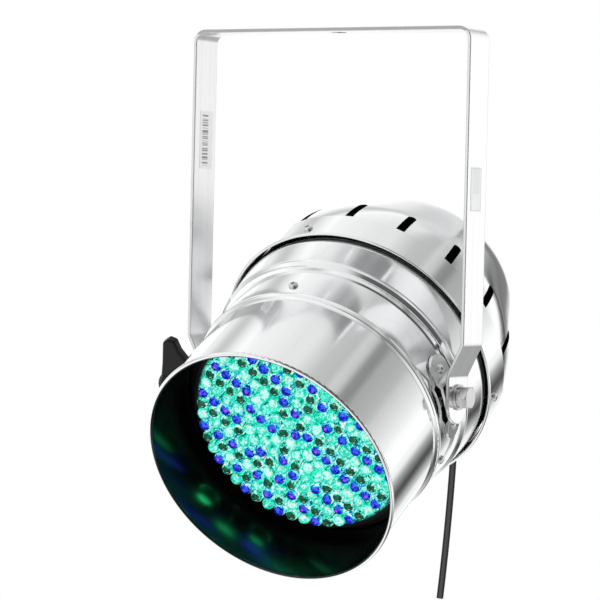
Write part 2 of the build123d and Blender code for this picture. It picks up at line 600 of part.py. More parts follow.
def socket_blank(x, z):
    flange = Location((x, SOCKET_FLANGE_S, z), (90, 0, 0)) \
        * extrude(RectangleRounded(26.0, 31.0, 3.0), SOCKET_FLANGE_S - (PANEL_BACK_S + HEAD_GAP))
    return flange + cyl_y(11.9, BACK_S - 23.0, SOCKET_FLANGE_S, x, z)


def put_socket(name, socket, dmx):
    put(name, cut(socket, [cyl_y(SMALL_CLEAR_R, PANEL_S - 5, SOCKET_CUT_S, x, z)
                           for x, z in socket_screw_places(dmx)]))


# input: open cup with three pins
put("dmx_in_pins", [cyl_y(1.2, BACK_S - 17.0 + FACE_GAP, BACK_S - 2.5, x, z)
                    for x, z in pin_places(DMX_IN)])
dmx_in = socket_blank(*DMX_IN) - cyl_y(9.6, BACK_S - 17.0, SOCKET_CUT_S, *DMX_IN)
put_socket("dmx_in_socket", dmx_in, DMX_IN)

# output: round core in a groove, with three pin holes
groove = cyl_y(9.9, BACK_S - 15.0, SOCKET_CUT_S, *DMX_OUT) \
    - cyl_y(7.6, BACK_S - 17.0, SOCKET_CUT_S + 1, *DMX_OUT)
dmx_out = cut(socket_blank(*DMX_OUT) - groove,
              [cyl_y(1.35, BACK_S - 12.0, SOCKET_CUT_S, x, z) for x, z in pin_places(DMX_OUT)])
put_socket("dmx_out_socket", dmx_out, DMX_OUT)

socket_screw = pan_screw(shank_r=1.45, head_r=2.6, head_h=1.8, seat=0.0, tip=-7.0)
put("socket_screws", at_places(Rotation(-90, 0, 0) * socket_screw, SOCKET_FLANGE_S + HEAD_GAP,
                               socket_screw_places(DMX_IN) + socket_screw_places(DMX_OUT)))

# cable gland: round body through the panel, hexagon and dome outside, lock nut inside
gland_hex = Location((GLAND_X, PANEL_BACK_S + HEAD_GAP, GLAND_Z), (-90, 0, 0)) \
    * hexagon(GLAND_AF, 5.0, 0.0)
gland = cyl_y(GLAND_R, GLAND_IN_S, PANEL_BACK_S + 1.0, GLAND_X, GLAND_Z) + gland_hex
gland_dome = spun([(0, PANEL_BACK_S + 4.0), (9.2, PANEL_BACK_S + 4.0),
                   (9.2, PANEL_BACK_S + 12.0), (7.2, GLAND_OUT_S - 1.0), (5.2, GLAND_OUT_S),
                   (0, GLAND_OUT_S)], {2: 1.5, 3: 1.5})
gland = gland + Location((GLAND_X, 0, GLAND_Z)) * gland_dome
gland = gland - cyl_y(CABLE_R + 0.05, GLAND_IN_S - 5, GLAND_OUT_S + 5, GLAND_X, GLAND_Z)
put("cable_gland", gland)
put("gland_locknut", Location((GLAND_X, PANEL_S - 6.0, GLAND_Z), (-90, 0, 0))
    * (hexagon(GLAND_AF, 5.9, 0.0) - Cylinder(GLAND_R + 0.05, 40)))

# mains cable, in the row frame: leaves along the can axis, bends over and hangs down
tilt_cos, tilt_sin = math.cos(math.radians(TILT_REST)), math.sin(math.radians(TILT_REST))
exit_s = GLAND_OUT_S + 4.0
exit_y = exit_s * tilt_cos - GLAND_Z * tilt_sin
exit_z = exit_s * tilt_sin + GLAND_Z * tilt_cos - TILT_DROP
bend_y = exit_y + CABLE_BEND_R * tilt_sin
bend_z = exit_z - CABLE_BEND_R * tilt_cos
drop_y = bend_y + CABLE_BEND_R
lead = place(cyl_y(CABLE_R, BACK_S - 27.0, exit_s, GLAND_X, GLAND_Z))
exit_plane = Plane(origin=(GLAND_X, exit_y, exit_z), z_dir=(0, tilt_cos, tilt_sin))
bend = revolve(exit_plane * Circle(CABLE_R), Axis((GLAND_X, bend_y, bend_z), (-1, 0, 0)),
               90.0 + TILT_REST)
drop = revolve(Plane(origin=(GLAND_X, drop_y, bend_z), z_dir=(0, 0, -1)) * Circle(CABLE_R),
               Axis((GLAND_X - CABLE_SAG_R, drop_y, bend_z), (0, 1, 0)),
               math.degrees((bend_z - CABLE_END_Z) / CABLE_SAG_R))
put("mains_cable", lead + bend + drop, in_can=False)

# ==============================================================================
# Electronics inside the neck and cap
# ==============================================================================
# chassis dish, with a hole in its floor above the axis
chassis = spun([(0, CHASSIS_S), (CHASSIS_R, CHASSIS_S), (CHASSIS_R2, FLARE_S),
                (CHASSIS_R2, CHASSIS_END_S), (CHASSIS_R2 - WALL, CHASSIS_END_S),
                (CHASSIS_R2 - WALL, FLARE_S), (CHASSIS_R - WALL, CHASSIS_S + PLATE_T),
                (0, CHASSIS_S + PLATE_T)], {1: 1.4})
put("chassis_plate", cut(chassis, collar_holes + holes_y(10.0, CHASSIS_S, [(0, 66.0)])))

driver_back = DRIVER_S + BOARD_T
put("driver_board", box(-56.0, 56.0, DRIVER_S, driver_back, -44.0, 44.0))
put("driver_standoffs", [cyl_y(STANDOFF_R, driver_back + FACE_GAP, CHASSIS_S - FACE_GAP, x, z)
                         for x, z in DRIVER_POSTS])

put("supply_standoffs", [cyl_y(STANDOFF_R, CHASSIS_S + PLATE_T + FACE_GAP, SUPPLY_S - FACE_GAP,
                               x, z) for x, z in SUPPLY_POSTS])
put("supply_board", box(-52.0, 52.0, SUPPLY_S, SUPPLY_S + BOARD_T, -32.0, 32.0))
on_supply = SUPPLY_S + BOARD_T + FACE_GAP
put("supply_transformer", box(-22.0, 12.0, on_supply, 69.0, -15.0, 15.0))
put("supply_capacitors", [cyl_y(8.0, on_supply, 67.0, 28.0, z) for z in (14.0, -6.0)])
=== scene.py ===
"""A tilting spotlight: a spun aluminium can of green, blue and red lamps, hung in a strap yoke.

Metres, +Z up. The yoke's top lies near z = 0 and its strap's width runs along Y. The can tilts
about an X axis through CAN_CENTRE, with its lamps facing -Y and downwards.
"""
import math
from functools import cached_property

import bpy
from mathutils import Matrix, Vector


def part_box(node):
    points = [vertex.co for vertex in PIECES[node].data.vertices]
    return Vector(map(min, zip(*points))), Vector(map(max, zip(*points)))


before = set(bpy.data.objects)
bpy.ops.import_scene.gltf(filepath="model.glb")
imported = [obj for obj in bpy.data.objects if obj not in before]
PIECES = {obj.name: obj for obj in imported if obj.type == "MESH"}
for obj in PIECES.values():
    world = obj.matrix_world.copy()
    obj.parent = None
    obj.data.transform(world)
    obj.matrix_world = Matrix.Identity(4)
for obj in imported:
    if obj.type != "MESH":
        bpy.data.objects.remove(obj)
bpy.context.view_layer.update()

scene = bpy.context.scene

# The can's own frame: ACROSS lies on the tilt axis, ALONG runs to the rear, UP is square to both
TILT = math.radians(31.0)
CAN_CENTRE = (0.0, 0.0, -0.301)
ALONG = (0.0, math.cos(TILT), math.sin(TILT))
UP = (0.0, -math.sin(TILT), math.cos(TILT))
ACROSS = (1.0, 0.0, 0.0)

# Lamps sit on rings round one in the middle; ring n holds 6 n lamps
RING_PITCH = 0.01075
LENS_RADIUS = 0.005
# how far round each ring starts, in lamp spacings
RING_PHASE = (0.0, 0.84, 0.52, 0.72, 0.76, 1.88, 1.13, 0.38, 2.60)
FULL_TURN = 2 * math.pi


def linear(level):
    """Display brightness 0..255 as linear light."""
    level = level / 255.0
    return level / 12.92 if level <= 0.04045 else ((level + 0.055) / 1.055) ** 2.4


def rgb(red, green, blue):
    return (linear(red), linear(green), linear(blue))


def rgb_stops(*table):
    """Ramp stops from rows of place, red, green, blue."""
    return [(place, rgb(*color)) for place, *color in table]


# ------------------------------------------------------------------------------
# Node building: each function adds a node to the current tree
# ------------------------------------------------------------------------------
class Value:
    """A node's output; arithmetic on it adds math nodes."""

    def __init__(self, socket):
        self.socket = socket

    def __add__(self, other):
        return maths("ADD", self, other)

    def __radd__(self, other):
        return maths("ADD", other, self)

    def __sub__(self, other):
        return maths("SUBTRACT", self, other)

    def __rsub__(self, other):
        return maths("SUBTRACT", other, self)

    def __mul__(self, other):
        return maths("MULTIPLY", self, other)

    def __truediv__(self, other):
        return maths("DIVIDE", self, other)

    def __rtruediv__(self, other):
        return maths("DIVIDE", other, self)


def begin(tree):
    """Empties a node tree and makes it the current one."""
    global current_tree
    current_tree = tree
    tree.nodes.clear()


def add_node(kind, **props):
    node = current_tree.nodes.new(kind)
    for key, value in props.items():
        setattr(node, key, value)
    return node


def feed(value, socket):
    """Links a Value to a socket, or sets the socket's own value."""
    if isinstance(value, Value):
        current_tree.links.new(value.socket, socket)
    elif value is not None:
        socket.default_value = (*value, 1.0) if socket.type == "RGBA" else value


def build(kind, *values, inputs={}, output=0, **props):
    """Adds a node, feeds its inputs by order and by name, and returns one output."""
    node = add_node(kind, **props)
    for key, value in [*enumerate(values), *inputs.items()]:
        feed(value, node.inputs[key])
    return Value(node.outputs[output])


def maths(operation, *values, clamp=False):
    return build("ShaderNodeMath", *values, operation=operation, use_clamp=clamp)


def vector_math(operation, *values, output="Vector"):
    return build("ShaderNodeVectorMath", *values, output=output, operation=operation)


def dot(first, second):
    return vector_math("DOT_PRODUCT", first, second, output="Value")


def scaled(vector, by):
    return build("ShaderNodeVectorMath", vector, inputs={"Scale": by}, output="Vector",
                 operation="SCALE")


def split(vector):
    node = add_node("ShaderNodeSeparateXYZ")
    feed(vector, node.inputs[0])
    return [Value(socket) for socket in node.outputs]


def join(*parts):
    return build("ShaderNodeCombineXYZ", *parts)


def tint(tone, color):
    return join(*(tone * part for part in color))


def step(value, start, end, low=0.0, high=1.0):
    """Eases from low, where value is at start, to high, where it is at end."""
    return build("ShaderNodeMapRange", value, start, end, low, high,
                 clamp=True, interpolation_type="SMOOTHSTEP")


def window(value, first, second):
    """The product of two steps, each given as (start, end)."""
    return step(value, *first) * step(value, *second)


def lerp(mask, on, off=1.0):
    """off where the mask is 0, on where it is 1."""
    return build("ShaderNodeMix", mask, inputs={2: off, 3: on}, data_type="FLOAT")


def mix(mask, off, on, blend="MIX"):
    """Colour off where the mask is 0, on where it is 1."""
    return build("ShaderNodeMix", mask, inputs={6: off, 7: on}, output=2,
                 data_type="RGBA", blend_type=blend)


def ramp(value, stops, interpolation="LINEAR"):
    """Colour ramp; each stop is (place, colour or grey)."""
    node = add_node("ShaderNodeValToRGB")
    band = node.color_ramp
    band.interpolation = interpolation
    while len(band.elements) > 1:
        band.elements.remove(band.elements[-1])
    for i, (place, color) in enumerate(stops):
        stop = band.elements[0] if i == 0 else band.elements.new(place)
        stop.position = place
        if not isinstance(color, tuple):
            color = (color, color, color)
        stop.color = (*color, 1.0)
    feed(value, node.inputs[0])
    return Value(node.outputs[0])


def noise(point, scale=1.0, detail=2.0, rough=0.5, distortion=0.0):
    settings = {"Vector": point, "Scale": scale, "Detail": detail, "Roughness": rough,
                "Distortion": distortion}
    return build("ShaderNodeTexNoise", inputs=settings, noise_dimensions="3D")


def cell_edges(point, scale):
    """Distance to the nearest edge of a cell pattern."""
    return build("ShaderNodeTexVoronoi", inputs={"Vector": point, "Scale": scale},
                 output="Distance", feature="DISTANCE_TO_EDGE")


def white_noise(point):
    return build("ShaderNodeTexWhiteNoise", point, noise_dimensions="3D")


def bump(height, distance, strength, normal=None):
    settings = {"Strength": strength, "Distance": distance, "Height": height, "Normal": normal}
    return build("ShaderNodeBump", inputs=settings)


def coordinates():
    """The object-space point and normal."""
    node = add_node("ShaderNodeTexCoord")
    return Value(node.outputs["Object"]), Value(node.outputs["Normal"])


def facing():
    return build("ShaderNodeLayerWeight", output="Facing")


def ray(name):
    return build("ShaderNodeLightPath", output=name)


def geometry(name):
    return build("ShaderNodeNewGeometry", output=name)


def bevel_edge(radius):
    """A mask that is 0 on flats and rises to 1 on sharp edges, and the bevelled normal."""
    normal = build("ShaderNodeBevel", inputs={"Radius": radius}, samples=4)
    bend = 1.0 - dot(normal, geometry("Normal"))
    edge_gain = 5.0
    return maths("MULTIPLY", bend, edge_gain, clamp=True), normal


def occlusion(distance, samples):
    return build("ShaderNodeAmbientOcclusion", inputs={"Distance": distance}, output="AO",
                 samples=samples)


def to_world(vector):
    return build("ShaderNodeVectorTransform", vector, vector_type="VECTOR",
                 convert_from="OBJECT", convert_to="WORLD")


def principled(**inputs):
    inputs = {name.replace("_", " "): value for name, value in inputs.items()}
    return build("ShaderNodeBsdfPrincipled", inputs=inputs)


def mix_shader(mask, off, on):
    return build("ShaderNodeMixShader", mask, off, on)


def to_output(shader, kind="ShaderNodeOutputMaterial"):
    feed(shader, add_node(kind).inputs["Surface"])


def start_material(name, base, rough, metal=0.0):
    """A material with its viewport look set and its empty tree made current."""
    finish = bpy.data.materials.new(name)
    finish.use_nodes = True
    finish.diffuse_color = (*base, 1.0)
    finish.roughness = rough
    finish.metallic = metal
    begin(finish.node_tree)
    return finish


class CanPlace:
    """A point's place in the can's frame; each part adds its nodes at first use."""

    def __init__(self, point):
        self.offset = vector_math("SUBTRACT", point, CAN_CENTRE)

    x = cached_property(lambda self: dot(self.offset, ACROSS))
    along = cached_property(lambda self: dot(self.offset, ALONG))
    up = cached_property(lambda self: dot(self.offset, UP))
    radius = cached_property(lambda self: maths("SQRT", self.x * self.x + self.up * self.up))
    angle = cached_property(lambda self: maths("ARCTAN2", self.up, self.x))


class LampPlace(CanPlace):
    """A point's place about the nearest lamp."""

    def __init__(self, point):
        super().__init__(point)
        self.ring = maths("ROUND", self.radius / RING_PITCH)
        self.count = maths("MAXIMUM", self.ring * 6.0, 1.0)
        # the ramp is a lookup table of 10 places; it holds phases divided by 4
        stops = [(i / 10.0, phase / 4.0) for i, phase in enumerate(RING_PHASE)]
        self.phase = ramp((self.ring + 0.5) / 10.0, stops, "CONSTANT") * 1.0 * 4.0
        turn = self.angle / FULL_TURN * self.count
        self.number = maths("ROUND", turn - self.phase)
        # one random value a lamp, from its ring and its number within the ring
        ring_seed, seed = 1.37, 0.5
        wrapped = maths("WRAP", self.number, self.count, 0.0)
        self.random = white_noise(join(self.ring * ring_seed, wrapped, seed))

    def axis_offset(self):
        """Offset from the lamp's axis, across and up, in lens radii."""
        angle = (self.number + self.phase) / self.count * FULL_TURN
        reach = self.ring * RING_PITCH
        return ((self.x - maths("COSINE", angle) * reach) / LENS_RADIUS,
                (self.up - maths("SINE", angle) * reach) / LENS_RADIUS)


# ------------------------------------------------------------------------------
# Metals
# ------------------------------------------------------------------------------
def paint_lining(point, normal, can, inward, smudge, tone):
    """Gloss black paint with specks of dust."""
    speck = noise(point, scale=900.0)
    height = noise(point, scale=420.0) + noise(point, scale=60.0) * 1.5
    dust = step(speck, start=0.66, end=0.78)
    paint_color, dust_color = (0.0022, 0.0024, 0.0028), (0.02, 0.022, 0.024)
    shader = principled(
        Base_Color=mix(dust * 0.35, paint_color, dust_color), Roughness=0.13 + smudge * 0.10,
        Normal=bump(height, distance=0.00005, strength=0.25), IOR=1.52, Specular_IOR_Level=0.5)
    # inward faces, short of the outer wall's radius
    mask = step(inward, start=0.12, end=0.3) * step(can.radius, start=0.1094, end=0.1088)
    return mask, shader


def painted_shade_lining(point, normal, can, inward, smudge, tone, painted_lit_lip=False):
    """Dull metal on inward faces, near-black as painted shade in the can's recesses."""
    color = mix(noise(point, scale=900.0), (0.012, 0.012, 0.013), (0.028, 0.028, 0.03))
    if painted_lit_lip:
        # painted light: paler near the lip's opening, fading into the painted shade deeper in
        lip = can.along + (smudge - 0.5) * 0.002
        color = mix(step(lip, start=0.0575, end=0.0515), color, tint(tone, (0.75, 0.75, 0.75)))
    shader = principled(Base_Color=color, Metallic=0.2, Roughness=0.55 + smudge * 0.2)
    return step(inward, start=0.25, end=0.5), shader


def cap_lining(point, normal, can, *surface):
    """Painted shade lining with a painted lit front lip; the dome's inner side, which faces
    forwards, gets the painted shade too.
    """
    mask, shader = painted_shade_lining(point, normal, can, *surface, painted_lit_lip=True)
    ahead = step(dot(normal, ALONG) * -1.0, start=0.08, end=0.20)
    ahead = ahead * step(can.along, start=0.064, end=0.066)
    return maths("MAXIMUM", mask, ahead), shader


def spun_aluminium(name, lining, slant=0.35):
    """Polished spun aluminium with fine turning lines round the can.

    lining makes the inside's (mask, shader); slant leans the highlight's tangent outwards.
    """
    finish = start_material(name, base=(0.82, 0.83, 0.84), rough=0.15, metal=1.0)
    point, normal = coordinates()
    can = CanPlace(point)
    inverse = 1.0 / maths("MAXIMUM", can.radius, 0.001)
    cos_x, sin_up = can.x * inverse, can.up * inverse
    # turning lines change fast along the can and slowly round it
    lines = noise(join(cos_x * 0.7, sin_up * 0.7, can.along * 2600.0), detail=3.0, rough=0.6)
    broad = noise(join(cos_x * 1.2, sin_up * 1.2, can.along * 160.0))
    smudge = noise(scaled(point, by=1.0), scale=17.0, detail=4.0, rough=0.55, distortion=0.4)
    hair = noise(join(can.angle * 46.0, can.along * 7.0, can.radius), detail=3.0, rough=0.55)
    # base level plus each texture's share
    rough = 0.035 + (lines * 0.04 + (smudge * 0.05 + broad * 0.02))
    tone = 0.875 + (lines * 0.045 + (hair * 0.045 + smudge * 0.02))
    outwards = vector_math("ADD", scaled(ACROSS, by=cos_x), scaled(UP, by=sin_up))
    tangent = vector_math("ADD", ALONG, scaled(outwards, by=slant))
    metal = principled(
        Base_Color=join(tone * 0.992, tone, tone * 1.004), Metallic=1.0, Roughness=rough,
        Anisotropic=0.3, Tangent=to_world(tangent),
        Normal=bump(lines * 0.5 + broad * 1.0, distance=0.000010, strength=0.3))
    inward = (dot(normal, ACROSS) * cos_x + dot(normal, UP) * sin_up) * -1.0
    mask, inside = lining(point, normal, can, inward, smudge, tone)
    to_output(mix_shader(mask, metal, inside))
    return finish


def strap_aluminium():
    """Drawn flat bar: fine lines along the strap, painted shade on its edges, corners and narrow
    faces.
    """
    finish = start_material("strap_aluminium", base=(0.85, 0.86, 0.87), rough=0.25, metal=1.0)
    point, normal = coordinates()
    x, y, z = split(point)
    lines = noise(join(x * 9.0, y * 1500.0, z * 9.0), detail=3.0, rough=0.6)
    bands = noise(join(x * 5.0, y * 260.0, z * 3.0))
    cloud = noise(tint_free_cloud(x, y, z), detail=4.0, rough=0.55, distortion=0.3)
    edge, bevelled = bevel_edge(radius=0.0009)
    # the outer faces are smoother, and the lines are fainter near the strap's lower ends
    outer = step(x * dot(normal, ACROSS), start=0.0, end=0.02)
    rough = (0.22 + (lines * 0.10 + cloud * 0.06)) * lerp(outer, on=0.5)
    depth = lerp(step(z, start=-0.245, end=-0.262), on=0.6)
    fine = (lines - 0.5) * 0.26 + (bands - 0.5) * 0.16
    tone = 0.96 + (fine * depth + (cloud - 0.5) * 0.03)
    # painted shade: darker edges, and darker corners where occlusion finds little open space
    tone = tone * lerp(edge, on=0.45)
    tone = tone * step(occlusion(0.006, samples=6), start=0.15, end=0.75, low=0.35)
    # painted shade: the narrow front and back faces are greyer, darkest along the top
    side = step(maths("ABSOLUTE", dot(normal, (0.0, 1.0, 0.0))), start=0.6, end=0.9)
    tone = tone * lerp(side, on=0.88)
    top = step(z, start=-0.0045, end=-0.0035)
    tone = tone * lerp(side * top, on=0.55)
    scratch = noise(join(x * 60.0, y * 2500.0, z * 60.0), detail=1.0)
    tone = tone * lerp(step(scratch, start=0.72, end=0.78), on=0.9)
    to_output(principled(
        Base_Color=join(tone, tone * 1.003, tone * 1.008), Metallic=1.0, Roughness=rough,
        Anisotropic=0.55, Tangent=to_world((0.05, 1.0, 0.05)),
        Normal=bump(lines + bands * 0.6, distance=0.000012, strength=depth * 0.4,
                    normal=bevelled)))
    return finish


def tint_free_cloud(x, y, z):
    """The strap's cloud coordinates, scaled alike on all axes."""
    return join(x * 14.0, y * 14.0, z * 14.0)


def plated(name, base, rough, cloud_scale=120.0, edge_radius=0.0003):
    """Turned or pressed metal with painted highlights on its edges and painted shade in its
    corners.
    """
    finish = start_material(name, base, rough, metal=1.0)
    point, _ = coordinates()
    fine = noise(point, scale=1400.0, detail=3.0, rough=0.6)
    cloud = noise(point, scale=cloud_scale, detail=3.0, rough=0.6, distortion=0.3)
    edge, bevelled = bevel_edge(edge_radius)
    open_space = occlusion(0.003, samples=8)
    # cloudy tone, then painted edge highlights, then painted shade in corners
    tone = 0.92 + cloud * 0.16
    tone = tone * lerp(edge, off=0.90, on=1.12)
    tone = tone * step(open_space, start=0.10, end=0.72, low=0.10)
    to_output(principled(
        Base_Color=tint(tone, base), Metallic=1.0,
        Roughness=rough - 0.05 + (fine * 0.08 + cloud * 0.06),
        Normal=bump(fine, distance=0.00001, strength=0.5, normal=bevelled)))
    return finish


# ------------------------------------------------------------------------------
# Plastics, boards and labels
# ------------------------------------------------------------------------------
def plastic(name, base, rough=0.4, grain=1500.0, depth=0.00002, edge_highlight=0.12, shine=0.4):
    """Moulded plastic; grain and depth set its texture, edge_highlight lightens its edges as a
    painted highlight.
    """
    finish = start_material(name, base, rough)
    point, _ = coordinates()
    texture = noise(point, scale=grain, detail=3.0, rough=0.6)
    cloud = noise(point, scale=60.0, detail=3.0, rough=0.55, distortion=0.3)
    edge, bevelled = bevel_edge(radius=0.0004)
    # painted highlight: the edges are lightened towards a paler copy of the base colour
    edge_highlight_color = tuple(part + edge_highlight for part in base)
    to_output(principled(
        Base_Color=mix(edge * 0.35, tint(0.8 + cloud * 0.4, base), edge_highlight_color),
        Roughness=rough - 0.06 + (texture * 0.08 + cloud * 0.06),
        Normal=bump(texture, distance=depth, strength=0.6, normal=bevelled),
        Coat_Weight=0.0, Coat_Roughness=0.15, Specular_IOR_Level=shine))
    return finish


def cable_material():
    """Black sheath with lengthwise streaks and a painted highlight where it faces the viewer."""
    finish = start_material("cable_black", base=(0.012, 0.012, 0.013), rough=0.35)
    point, _ = coordinates()
    x, y, z = split(point)
    fine = noise(point, scale=1800.0)
    streaks = noise(join(x * 700.0, y * 700.0, z * 12.0), detail=3.0)
    # painted highlight: paler where the cable faces the viewer
    painted_highlight = step(facing(), start=0.22, end=0.05, high=0.075)
    tone = 0.003 + (streaks * 0.006 + painted_highlight)
    to_output(principled(
        Base_Color=join(tone, tone, tone * 1.05), Roughness=0.30 + streaks * 0.14,
        Specular_IOR_Level=0.2,
        Normal=bump(fine + streaks * 2.0, distance=0.00003, strength=0.4)))
    return finish


def board_green():
    """Green circuit board with a web of paler lines."""
    finish = start_material("pcb_green", base=(0.02, 0.16, 0.07), rough=0.35)
    point, _ = coordinates()
    gap = step(cell_edges(point, scale=260.0), start=0.02, end=0.05)
    cloud = noise(point, scale=40.0, detail=3.0)
    ground = mix(cloud, (0.012, 0.10, 0.04), (0.02, 0.17, 0.075))
    to_output(principled(
        Base_Color=mix(gap, (0.05, 0.26, 0.11), ground), Roughness=0.28 + cloud * 0.12,
        Normal=bump(gap, distance=0.00003, strength=0.4), Coat_Weight=0.3))
    return finish


def capacitor_sleeve():
    """Mottled dark blue sleeve."""
    finish = start_material("capacitor_sleeve", base=(0.03, 0.04, 0.10), rough=0.35)
    point, _ = coordinates()
    mottle = noise(point, scale=300.0, detail=3.0)
    to_output(principled(
        Base_Color=mix(mottle, (0.02, 0.028, 0.08), (0.05, 0.06, 0.14)),
        Roughness=0.25 + mottle * 0.2, Normal=bump(mottle, distance=0.00005, strength=0.4)))
    return finish


def label_box(name):
    """Centre y, centre z, half width in y and half height in z of a label."""
    low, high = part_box(name)
    return [float((high[axis] + sign * low[axis]) / 2) for sign in (1, -1) for axis in (1, 2)]


def plate_label():
    """Blank foil plate with a thin printed border."""
    finish = start_material("label_silver", base=(0.6, 0.6, 0.6), rough=0.35, metal=0.6)
    mid_y, mid_z, half_y, half_z = label_box("arm_label")
    point, _ = coordinates()
    x, y, z = split(point)
    inset_y = half_y - maths("ABSOLUTE", y - mid_y)
    inset_z = half_z - maths("ABSOLUTE", z - mid_z)
    inset = maths("MINIMUM", inset_y, inset_z)
    border = window(inset, (0.0008, 0.0010), (0.0016, 0.0014))
    fibre = noise(join(x * 100.0, y * 1600.0, z * 30.0))
    blot = noise(point, scale=150.0, detail=4.0, rough=0.6)
    color = mix(blot, rgb(236, 237, 238), rgb(248, 248, 249))
    color = mix(border * 0.5, color, rgb(186, 188, 190))
    # a faint grey panel over all but the lower part
    panel = step(inset_y, start=0.003, end=0.0035) * step(z - mid_z, start=-0.004, end=-0.0035)
    color = mix(panel * 0.30, color, rgb(206, 208, 210))
    to_output(principled(
        Base_Color=color, Metallic=0.15, Roughness=0.3 + fibre * 0.15,
        Normal=bump(fibre, distance=0.00001, strength=0.5)))
    return finish


def bar_label():
    """White sticker with plain random bars across it."""
    finish = start_material("label_white", base=(0.85, 0.85, 0.85), rough=0.4)
    mid_y, mid_z, half_y, half_z = label_box("bar_label")
    point, _ = coordinates()
    _, y, z = split(point)
    bars_per_metre = 2100.0
    bar_seed = (3.0, 7.0)
    bar = maths("FLOOR", z * bars_per_metre)
    inked = maths("GREATER_THAN", white_noise(join(bar, *bar_seed)), 0.5)
    low_y, high_y = mid_y - half_y, mid_y + half_y * 0.25
    in_y = window(y, (low_y + 0.0032, low_y + 0.0036), (high_y + 0.0004, high_y))
    in_z = step(maths("ABSOLUTE", z - mid_z), start=half_z - 0.0022, end=half_z - 0.0028)
    ink = inked * in_y * in_z
    paper = noise(point, scale=500.0, detail=3.0)
    color = mix(paper, rgb(240, 240, 240), rgb(252, 252, 252))
    fade = 0.55 + noise(point, scale=240.0) * 0.3
    to_output(principled(
        Base_Color=mix(ink * fade, color, rgb(60, 60, 62)), Roughness=0.35 + paper * 0.2,
        Normal=bump(paper, distance=0.00002, strength=0.3)))
    return finish


def smoke_window():
    """Very dark red window with fine scratches across it."""
    finish = start_material("window_smoke", base=(0.03, 0.004, 0.004), rough=0.08)
    point, _ = coordinates()
    cloud = noise(point, scale=90.0, detail=3.0)
    streaks = noise(join(dot(point, ACROSS) * 80.0, dot(point, UP) * 2500.0, 0.0), detail=1.0)
    scratch = step(streaks, start=0.7, end=0.76)
    to_output(principled(
        Base_Color=mix(cloud, (0.018, 0.002, 0.002), (0.035, 0.004, 0.004)),
        Roughness=0.06 + (cloud * 0.05 + scratch * 0.15), Coat_Weight=0.5, Coat_Roughness=0.05))
    return finish


# ------------------------------------------------------------------------------
# Lamps and their board
# ------------------------------------------------------------------------------
# Speckle ramps by lamp colour: place, then display red, green, blue
SPARKLE = {
    "green": rgb_stops(
        (0.385, 0, 104, 84), (0.435, 2, 176, 144), (0.485, 10, 212, 180), (0.54, 36, 234, 204),
        (0.585, 92, 244, 226), (0.63, 178, 255, 248), (0.67, 250, 255, 255)),
    "blue": rgb_stops(
        (0.38, 0, 20, 84), (0.42, 4, 70, 176), (0.46, 20, 170, 206), (0.51, 70, 232, 214),
        (0.57, 140, 246, 236), (0.62, 250, 255, 255)),
    "red": rgb_stops(
        (0.38, 0, 40, 32), (0.42, 4, 130, 102), (0.46, 30, 208, 174), (0.51, 80, 236, 206),
        (0.57, 150, 248, 230), (0.62, 250, 255, 255)),
}
# Glass colour, light thrown on other pieces, and its strength
LAMP_LIGHT = {
    "green": ((0.12, 0.75, 0.55), (0.03, 1.0, 0.30), 27.0),
    "blue": ((0.05, 0.08, 0.75), (0.03, 0.08, 1.0), 8.64),
    # the red lamps are unlit: their glow and thrown light are painted light, the green lamps'
    # light passed on
    "red": ((0.03, 0.16, 0.12), (0.0, 0.12, 0.05), 1.44),
}


def glitter(point, kind):
    """The speckle that the lamps throw on each other and on the board."""
    big = noise(point, scale=250.0, rough=0.55, distortion=0.5)
    small = noise(point, scale=760.0, detail=1.0, distortion=0.4)
    return ramp(big * 0.66 + small * 0.37, SPARKLE[kind])


# Each dome function returns the lens tip's colour and how far that colour covers the lens.
# `tip` is 1 where the lens faces straight forwards.
def green_dome(lamp, tip, swirl, fine):
    tone = facing() * 0.8 + (
        (swirl - 0.5) * 3.0 + ((fine - 0.5) * 1.2 + (lamp.random - 0.5) * 0.5))
    color = ramp(tone, rgb_stops(
        (0.0, 230, 255, 252), (0.16, 130, 248, 232), (0.40, 50, 232, 200),
        (0.72, 20, 218, 174), (1.02, 0, 130, 104)))
    return color, step(tip, start=0.15, end=0.6, high=0.8)


def blue_dome(lamp, tip, swirl, fine):
    tone = facing() * 0.9 + ((swirl - 0.5) * 2.4 + (fine - 0.5) * 1.4)
    color = ramp(tone, rgb_stops(
        (0.0, 70, 104, 250), (0.14, 26, 38, 224), (0.40, 14, 16, 178), (0.66, 2, 6, 104),
        (0.95, 4, 40, 96)))
    # a violet spark, placed at random, on some lamps
    across, up = lamp.axis_offset()
    shift = maths("FRACT", lamp.random * 13.0)
    across = across - lerp(shift, off=-0.30, on=0.42)
    up = up - lerp(lamp.random, off=-0.35, on=0.30)
    spark = step(across * across + up * up, start=0.09, end=0.0)
    spark = spark * step(lamp.random, start=0.35, end=0.80)
    color = mix(spark * 0.9, color, rgb(206, 84, 240))
    # pale dots of painted highlight away from the tip
    highlight_dots = step(fine, start=0.60, end=0.70) * step(tip, start=0.92, end=0.60)
    color = mix(highlight_dots * 0.85, color, rgb(150, 225, 255))
    return color, step(tip + (swirl - 0.5) * 0.9, start=0.38, end=0.52)


# The red lamps are unlit: their colour is painted reflection of the green lamps' light over
# painted shade.
def red_dome(lamp, tip, swirl, fine):
    tone = facing() * 0.8 + ((swirl - 0.5) * 2.2 + (fine - 0.5) * 1.4)
    color = ramp(tone, rgb_stops(
        (0.0, 46, 104, 82), (0.2, 18, 72, 54), (0.44, 2, 38, 28), (0.64, 8, 96, 72),
        (0.82, 60, 190, 160)))
    # a flat pale oval of painted highlight below the middle
    across, up = lamp.axis_offset()
    across, up = across - 0.22, up + 0.24
    highlight_oval = step(across * across * 1.4 + up * up * 9.0, start=0.10, end=0.02)
    color = mix(highlight_oval * 0.85, color, rgb(176, 224, 204))
    return color, step(tip + (swirl - 0.5) * 0.9, start=0.53, end=0.65)


